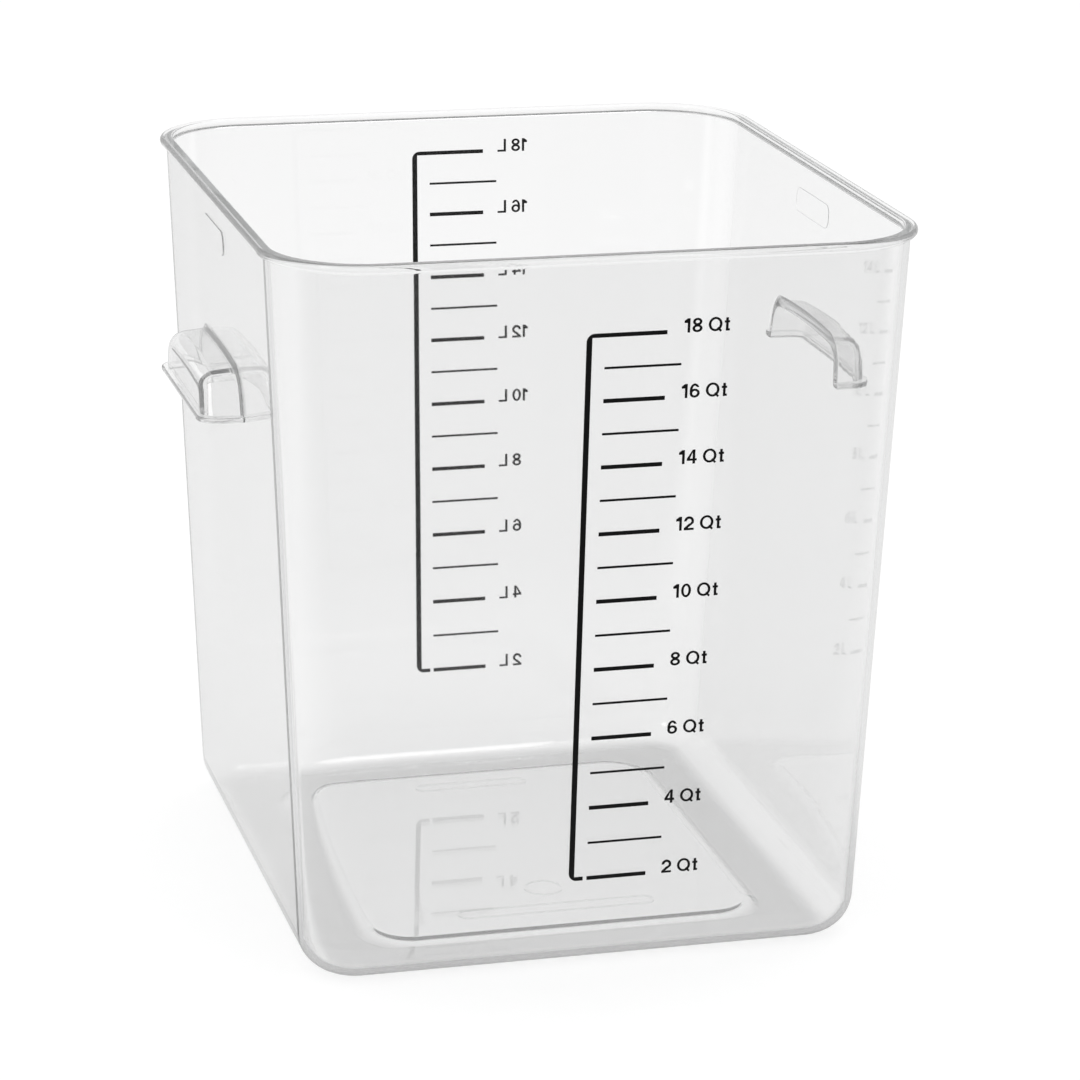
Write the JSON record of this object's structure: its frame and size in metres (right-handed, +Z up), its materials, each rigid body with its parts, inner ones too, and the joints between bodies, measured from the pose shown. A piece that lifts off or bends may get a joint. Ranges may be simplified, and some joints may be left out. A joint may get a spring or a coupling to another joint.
{
  "type": "dough proofing container",
  "caption": "Clear straight-sided open tub for proofing dough, with a beaded rim, a hood handle on each side wall and printed volume scales on the front and back.",
  "frame": {"origin": "middle of the base, on the plane the foot ring rests on", "axes": "+Z up to the open mouth, -Y out of the front wall with the quart scale, +Y out of the back wall with the litre scale, handles on -X and +X"},
  "size_m": [0.293, 0.2984, 0.304],
  "materials": {
    "clear_plastic": "clear polished polycarbonate",
    "black_ink": "screen printed ink"
  },
  "bodies": {
    "root": {"tub_walls": "clear_plastic", "rim_bead": "clear_plastic", "heel_and_foot_ring": "clear_plastic", "raised_floor": "clear_plastic", "round_insert_mark": "clear_plastic", "blank_base_strips": "clear_plastic", "handle_left": "clear_plastic", "handle_right": "clear_plastic", "plaque_left": "clear_plastic", "plaque_right": "clear_plastic", "quart_scale_bracket": "black_ink", "quart_scale_even_marks": "black_ink", "quart_scale_odd_marks": "black_ink", "quart_scale_numbers": "black_ink", "quart_scale_letters": "black_ink", "litre_scale_bracket": "black_ink", "litre_scale_even_marks": "black_ink", "litre_scale_odd_marks": "black_ink", "litre_scale_numbers": "black_ink", "litre_scale_letters": "black_ink"}
  },
  "joints": []
}
